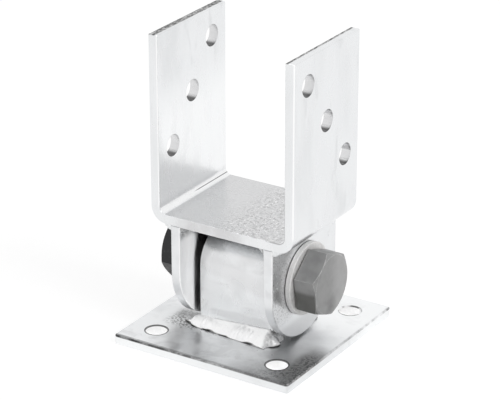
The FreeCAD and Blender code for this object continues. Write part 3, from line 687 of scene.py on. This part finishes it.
def trim(piece, point, normal):
    """Cut a piece by a plane, drop what lies on the side that the normal points to and close the cut."""
    activate(piece)
    bpy.ops.object.mode_set(mode="EDIT")
    bpy.ops.mesh.select_all(action="SELECT")
    bpy.ops.mesh.bisect(plane_co=point, plane_no=normal, use_fill=True, clear_outer=True)
    bpy.ops.object.mode_set(mode="OBJECT")


def apply(piece, kind, **settings):
    """Add a modifier and apply it."""
    activate(piece)
    modifier = piece.modifiers.new(kind.title(), kind)
    for name, value in settings.items():
        setattr(modifier, name, value)
    bpy.ops.object.modifier_apply(modifier=modifier.name)


def joined(pieces):
    activate(pieces[0])
    for piece in pieces:
        piece.select_set(True)
    bpy.ops.object.join()
    return bpy.context.object


def ripple(where, size, turn=0.0):
    """One solidified weld puddle: a ball squashed to its size along X, Y and Z and turned about Z."""
    deselect()
    bpy.ops.mesh.primitive_ico_sphere_add(subdivisions=3, radius=1, location=where, scale=size,
                                          rotation=(0, 0, turn))
    return bpy.context.object


def bead_from(ripples, node, settings, name):
    """Melt ripples and the CAD weld that they lie on into one bead."""
    bead = joined([copy_of_node(node), *ripples])
    bead = finished(bead, name)
    apply(bead, "REMESH", mode="VOXEL", voxel_size=settings.grain)
    apply(bead, "SMOOTH", factor=0.5, iterations=settings.melt)
    return bead


def knuckle_core(low, high, face, front, settings):
    """Wedge inside a knuckle bead: four-sided, its corners up the knuckle and out over the plate."""
    leg, plate_top = settings.knuckle_leg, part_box("base_plate")[1][2]
    deselect()
    bpy.ops.mesh.primitive_cone_add(vertices=4, radius1=leg, radius2=leg * (1 + settings.knuckle_swell),
                                    depth=high - low, rotation=(0, math.pi / 2, 0),
                                    location=((low + high) / 2, face + front * leg * STAND_OFF, plate_top))
    return bpy.context.object


def knuckle_bead(node, front, settings):
    """Bead along one foot of the knuckle, round both corners; front is -1 or 1, its side in Y.

    Low ripples lie on a wedge that grows from left to right. Smaller ones go round the corners, a tail runs
    out to the left, and each end is rounded."""
    rng = random.Random(node)
    (left, _, _), (right, knuckle_rear, _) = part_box("hinge_knuckle")
    face = knuckle_rear * front
    plate_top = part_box("base_plate")[1][2]
    leg, swell = settings.knuckle_leg, settings.knuckle_swell
    ripples = [knuckle_core(left, right, face, front, settings)]
    count = round((right - left) / settings.knuckle_pitch)
    step = (right - left) / count
    # along the foot
    for number in range(count + 1):
        here = leg * (1 + swell * number / count)
        size = here * rng.uniform(0.95, 1.35)
        proud = (rng.uniform(0.2, 0.9) + 0.55 * math.sin(0.75 * number)) * MM
        depth = (size - here / math.sqrt(2) - proud) / math.sqrt(2)
        where = (left + (number + rng.uniform(-0.3, 0.3)) * step,
                 face - front * (depth - leg * STAND_OFF), plate_top - depth)
        size_along = step * rng.uniform(0.8, 1.7)
        ripples.append(ripple(where, (size_along, size, size), turn=front * math.radians(8)))
    # round each corner on to the knuckle's side, and the bead's rounded end
    for corner, side, growth in ((left, -1, 1), (right, 1, 1 + swell)):
        for number in range(1, 5):
            fade = 1 - 0.09 * number
            where = (corner + side * leg * 0.1, face - front * leg * (0.45 * number - 0.2),
                     plate_top + leg * 0.08)
            ripples.append(ripple(where, (leg * 0.5 * fade, step * 0.9, leg * 0.62 * fade)))
        for number in range(2):
            size = leg * growth * (0.88 - 0.1 * number)
            where = (corner + side * (1.1 * number - 1) * MM, face - front * leg * 0.1 * number, plate_top)
            ripples.append(ripple(where, (2.6 * MM, size, size)))
    # the tail
    for number in range(7):
        size = leg * (0.56 - 0.07 * number)
        where = (left - number * MM, face + front * leg * 0.3, plate_top)
        ripples.append(ripple(where, (2.2 * MM, size, size)))
    bead = bead_from(ripples, node, settings, node + "_bead")
    trim(bead, (0, 0, plate_top - SUNK), (0, 0, -1))
    bpy.ops.object.shade_smooth()
    return bead


def lug_bead(node, settings):
    """Bead between a lug and the web, laid on the CAD weld along its whole length.

    The outer beads also cross the ends of the seam between lug and web. All are cut off a little proud of
    the lug's edges."""
    rng = random.Random(node)
    low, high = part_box(node)
    outer = node.endswith("outer")
    lug_face = min(abs(low[0]), abs(high[0])) if outer else max(abs(low[0]), abs(high[0]))
    side = math.copysign(1, low[0] + high[0])
    away = side if outer else -side
    leg = high[0] - low[0]
    count = round((high[1] - low[1]) / settings.lug_pitch)
    step = (high[1] - low[1]) / count
    ripples = []
    for number in range(1, count):
        size = leg * rng.uniform(0.6, 0.74)
        where = (side * lug_face + away * leg * 0.14, low[1] + number * step, high[2] - leg * 0.14)
        ripples.append(ripple(where, (size, step * rng.uniform(0.7, 1.0), size)))
    ends = ((low[1], -1), (high[1], 1))
    if outer:
        # a row across each end of the seam, and one lower down on the lug
        for end, back in ends:
            y = end - back * 1.4 * MM
            for number in range(-2, 5):
                where = (side * (lug_face - number * SHEET * MM / 4), y, high[2] + 0.4 * MM)
                ripples.append(ripple(where, (1.8 * MM, 2.2 * MM, 2 * MM)))
            where = (side * (lug_face + 0.9 * MM), y, high[2] - 0.7 * MM)
            ripples.append(ripple(where, (2.1 * MM, 2.2 * MM, 2.1 * MM)))
    bead = bead_from(ripples, node, settings, node + "_bead")
    for end, back in ends:
        trim(bead, (0, end + back * PROUD, 0), (0, back, 0))
    bpy.ops.object.shade_smooth_by_angle(angle=math.radians(50))
    return bead


def drop(where, size, normal_axis):
    """One bead of spatter, sunk to its middle and flattened along the face's normal."""
    deselect()
    scale = [size, size, size]
    scale[normal_axis] *= 0.55
    bpy.ops.mesh.primitive_ico_sphere_add(subdivisions=2, radius=1, location=where, scale=scale)
    return bpy.context.object


def plate_drops(settings):
    """Spatter on the plate, thick near the knuckle's welds and thinning outwards."""
    rng = random.Random("plate")
    (left, front, _), (right, rear, _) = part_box("hinge_knuckle")
    plate_rear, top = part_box("base_plate")[1][1:]
    limit = plate_rear - 4 * MM
    drops = []
    for number in range(settings.drops):
        away = settings.knuckle_leg * 1.3 + rng.expovariate(1 / (2.5 * MM))
        y = front - away if number % 2 else rear + away
        where = (rng.uniform(left - 8 * MM, right + 8 * MM), max(min(y, limit), -limit), top)
        drops.append(drop(where, rng.uniform(0.15, 0.4) * MM, 2))
    return drops


def lug_drops(settings):
    """Spatter on the lugs' outer faces, below their welds and clear of the washer and the nut."""
    rng = random.Random("lugs")
    drops = []
    for node, washer in (("lug_left", "hinge_nut"), ("lug_right", "hinge_washer")):
        low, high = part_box(node)
        face = low[0] if low[0] < 0 else high[0]
        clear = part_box(washer)[1][1] + MM
        for _ in range(settings.drops // 2):
            height = rng.uniform(high[2] - 22 * MM, high[2] - 4 * MM)
            y = rng.choice((-1, 1)) * rng.uniform(clear, high[1] - 1.5 * MM)
            drops.append(drop((face, y, height), rng.uniform(0.18, 0.42) * MM, 0))
    return drops


def thread_ridge(start, tip, axis_height, settings):
    """Ridge wound round the end of the bolt: a three-sided section taken round and along X, then cut off."""
    pitch = settings.thread_pitch
    height = settings.thread_radius - THREAD_DEPTH * pitch + 0.05 * pitch
    deselect()
    bpy.ops.mesh.primitive_circle_add(vertices=3, radius=0.62 * pitch, fill_type="NGON",
                                      rotation=(math.pi / 2, 0, 0), location=(tip - pitch, 0, height))
    ridge = finished(bpy.context.object, "bolt_ridge")
    apply(ridge, "SCREW", axis="X", angle=math.tau, steps=48, render_steps=48, screw_offset=pitch,
          iterations=math.ceil((start - tip) / pitch) + 2)
    trim(ridge, (tip + 0.5 * MM, 0, 0), (-1, 0, 0))
    trim(ridge, (start, 0, 0), (1, 0, 0))
    ridge.location.z = axis_height
    return finished(ridge, "bolt_ridge")


def threaded_bolt(settings, plain, worn):
    """The CAD bolt with the end of its shank swapped for a real thread: a core and a ridge wound on it."""
    bolt = copy_of_node("hinge_bolt")
    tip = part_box("hinge_bolt")[0][0]
    washer_low, washer_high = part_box("hinge_washer")
    axis_height = (washer_low[2] + washer_high[2]) / 2
    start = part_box("hinge_nut")[0][0] + settings.thread_pitch
    trim(bolt, (start, 0, 0), (-1, 0, 0))
    deselect()
    bpy.ops.mesh.primitive_cylinder_add(vertices=64, depth=start - tip, rotation=(0, math.pi / 2, 0),
                                        radius=settings.thread_radius - THREAD_DEPTH * settings.thread_pitch,
                                        location=((start + tip) / 2, 0, axis_height))
    core = finished(bpy.context.object, "bolt_core")
    apply(core, "BEVEL", width=0.7 * MM, segments=2, limit_method="ANGLE")
    ridge = thread_ridge(start, tip, axis_height, settings)
    wear(bolt, plain)
    bolt.data.materials.append(worn)
    wear(core, plain)
    wear(ridge, plain)
    activate(bolt)
    bpy.ops.object.mode_set(mode="EDIT")
    bpy.ops.mesh.select_all(action="SELECT")
    bpy.ops.mesh.dissolve_limited(angle_limit=math.radians(1))
    bpy.ops.object.mode_set(mode="OBJECT")
    apply(bolt, "BEVEL", width=settings.worn_edge, segments=1, limit_method="ANGLE",
          angle_limit=math.radians(25), material=1)
    bolt = finished(joined([bolt, core, ridge]), "hinge_bolt_threaded")
    bpy.ops.object.shade_smooth_by_angle(angle=math.radians(30))
    return bolt


# ---------------------------------------------------------------- operators

class POSTBASE_OT_zinc(bpy.types.Operator):
    """Coat the plate, knuckle, saddle and lugs with zinc"""

    bl_idname = "post_base.zinc"
    bl_label = "Zinc Coat"

    def execute(self, context):
        settings = context.scene.post_base_zinc
        for node, material in (("base_plate", plate_finish(settings)),
                               ("hinge_knuckle", knuckle_finish(settings)),
                               ("post_saddle", saddle_finish(settings))):
            wear(frame["nodes"][node], material)
        lugs = lug_finish(settings)
        for node in LUGS:
            wear(frame["nodes"][node], lugs)
        return {"FINISHED"}


class POSTBASE_OT_knuckle_welds(bpy.types.Operator):
    """Lay the rippled weld beads along both feet of the knuckle"""

    bl_idname = "post_base.knuckle_welds"
    bl_label = "Knuckle Welds"

    def execute(self, context):
        settings = context.scene.post_base_weld
        material = weld_finish("knuckle_weld_zinc", context.scene.post_base_zinc, shine=0.8)
        for node, front in (("knuckle_weld_front", -1), ("knuckle_weld_rear", 1)):
            bead = knuckle_bead(node, front, settings)
            wear(bead, material)
            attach(bead, "base")
            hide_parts(node)
        return {"FINISHED"}


class POSTBASE_OT_lug_welds(bpy.types.Operator):
    """Lay the rough weld beads between the lugs and the saddle's web"""

    bl_idname = "post_base.lug_welds"
    bl_label = "Lug Welds"

    def execute(self, context):
        settings = context.scene.post_base_weld
        material = weld_finish("lug_weld_zinc", context.scene.post_base_zinc, under_web_shade=0.7)
        for node in LUG_WELDS:
            bead = lug_bead(node, settings)
            wear(bead, material)
            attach(bead, "saddle")
            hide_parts(node)
        return {"FINISHED"}


class POSTBASE_OT_spatter(bpy.types.Operator):
    """Scatter small beads of weld spatter over the plate and the lugs"""

    bl_idname = "post_base.spatter"
    bl_label = "Weld Spatter"

    def execute(self, context):
        settings = context.scene.post_base_weld
        material = weld_finish("spatter_zinc", context.scene.post_base_zinc, toe_depth=0.15)
        for name, body, drops in (("plate_spatter", "base", plate_drops(settings)),
                                  ("lug_spatter", "saddle", lug_drops(settings))):
            piece = finished(joined(drops), name)
            bpy.ops.object.shade_smooth()
            wear(piece, material)
            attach(piece, body)
        return {"FINISHED"}


class POSTBASE_OT_bolt(bpy.types.Operator):
    """Cut the thread on the bolt's end and coat bolt, washer and nut"""

    bl_idname = "post_base.bolt"
    bl_label = "Bolt, Washer and Nut"

    def execute(self, context):
        settings = context.scene.post_base_hardware
        bolt = threaded_bolt(settings, bolt_finish(settings), worn_edge_finish(settings))
        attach(bolt, "saddle")
        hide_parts("hinge_bolt")
        wear(frame["nodes"]["hinge_washer"], washer_finish(settings))
        wear(frame["nodes"]["hinge_nut"], nut_finish(settings))
        return {"FINISHED"}


class POSTBASE_OT_stage(bpy.types.Operator):
    """Lay the floor, light the part and place the camera"""

    bl_idname = "post_base.stage"
    bl_label = "Floor, Light and Camera"

    def execute(self, context):
        settings = context.scene.post_base_studio
        deselect()
        bpy.ops.mesh.primitive_plane_add(size=12, location=(0, 0, -FLOOR_GAP))
        floor = context.object
        floor.name = "floor"
        wear(floor, floor_finish())
        surround(context.scene, settings)
        for name, where, aim, size, power in (
            ("key", (1.3, -0.1, 1.2), (0, 0, 0.08), 0.9, 8),
            ("top", (-0.4, 0.1, 1.7), (0, 0, 0.08), 1.0, 2.9),
        ):
            bpy.ops.object.light_add(type="AREA", location=where)
            lamp = context.object
            lamp.name = name
            lamp.data.size = size
            lamp.data.energy = power
            lamp.rotation_euler = (Vector(aim) - Vector(where)).to_track_quat("-Z", "Y").to_euler()
        place_camera(context, settings)
        context.scene.view_settings.view_transform = "Standard"
        return {"FINISHED"}


def seen_directly(tree):
    """1 for rays from the camera, in reflections and through glass; 0 for the rest."""
    path = tree.nodes.new("ShaderNodeLightPath")
    total = path.outputs["Is Camera Ray"]
    for kind in ("Is Glossy Ray", "Is Transmission Ray"):
        node = tree.nodes.new("ShaderNodeMath")
        node.operation = "MAXIMUM"
        tree.links.new(total, node.inputs[0])
        tree.links.new(path.outputs[kind], node.inputs[1])
        total = node.outputs[0]
    return total


def floor_finish():
    """White floor that keeps its shadow and looks white in reflections."""
    coat = Coat("studio_floor", metallic=0.0)
    coat.colour = (0.5, 0.5, 0.5)
    coat.paint(0.9)
    coat.shader.inputs["Specular IOR Level"].default_value = 0.0
    coat.shader.inputs["Emission Color"].default_value = (1, 1, 1, 1)
    coat.put(coat.shader.inputs["Emission Strength"], coat.times(seen_directly(coat.tree), 0.68))
    return coat.material


def surround(scene, settings):
    """Plain white surroundings, dimmer as a light than as a background."""
    world = bpy.data.worlds.new("studio")
    world.use_nodes = True
    scene.world = world
    tree = world.node_tree
    background = tree.nodes["Background"]
    background.inputs["Color"].default_value = (1, 1, 1, 1)
    strength = tree.nodes.new("ShaderNodeMapRange")
    tree.links.new(seen_directly(tree), strength.inputs["Value"])
    strength.inputs["To Min"].default_value = settings.sky
    strength.inputs["To Max"].default_value = 1.0
    tree.links.new(strength.outputs["Result"], background.inputs["Strength"])


def place_camera(context, settings):
    azimuth, elevation = settings.azimuth, settings.elevation
    back = Vector((math.sin(azimuth) * math.cos(elevation), -math.cos(azimuth) * math.cos(elevation),
                   math.sin(elevation)))
    right = Vector((math.cos(azimuth), math.sin(azimuth), 0))
    up = back.cross(right)
    where = back * settings.distance + right * settings.aside + up * settings.raised
    bpy.ops.object.camera_add(location=where, rotation=(math.pi / 2 - elevation, 0, azimuth))
    camera = context.object
    camera.data.sensor_width = 36
    camera.data.lens = settings.lens
    camera.data.clip_start, camera.data.clip_end = 0.01, 100
    context.scene.camera = camera


class POSTBASE_PT_panel(bpy.types.Panel):
    """Post base tools in the sidebar"""

    bl_idname = "POSTBASE_PT_panel"
    bl_label = "Hinged Post Base"
    bl_space_type = "VIEW_3D"
    bl_region_type = "UI"
    bl_category = "Post Base"

    def draw(self, context):
        layout = self.layout
        for operator in OPERATORS:
            layout.operator(operator.bl_idname)
        for name, kind in GROUPS.items():
            box = layout.box()
            box.label(text=kind.__doc__)
            for prop in kind.__annotations__:
                box.prop(getattr(context.scene, name), prop)


OPERATORS = (POSTBASE_OT_zinc, POSTBASE_OT_knuckle_welds, POSTBASE_OT_lug_welds, POSTBASE_OT_spatter,
             POSTBASE_OT_bolt, POSTBASE_OT_stage)
CLASSES = (*GROUPS.values(), *OPERATORS, POSTBASE_PT_panel)


def register():
    for item in CLASSES:
        bpy.utils.register_class(item)
    for name, kind in GROUPS.items():
        setattr(bpy.types.Scene, name, PointerProperty(type=kind))


def unregister():
    for name in GROUPS:
        delattr(bpy.types.Scene, name)
    for item in reversed(CLASSES):
        bpy.utils.unregister_class(item)


def main():
    register()
    for operator in OPERATORS:
        getattr(bpy.ops.post_base, operator.bl_idname.split(".")[1])()


if __name__ == "__main__":
    main()
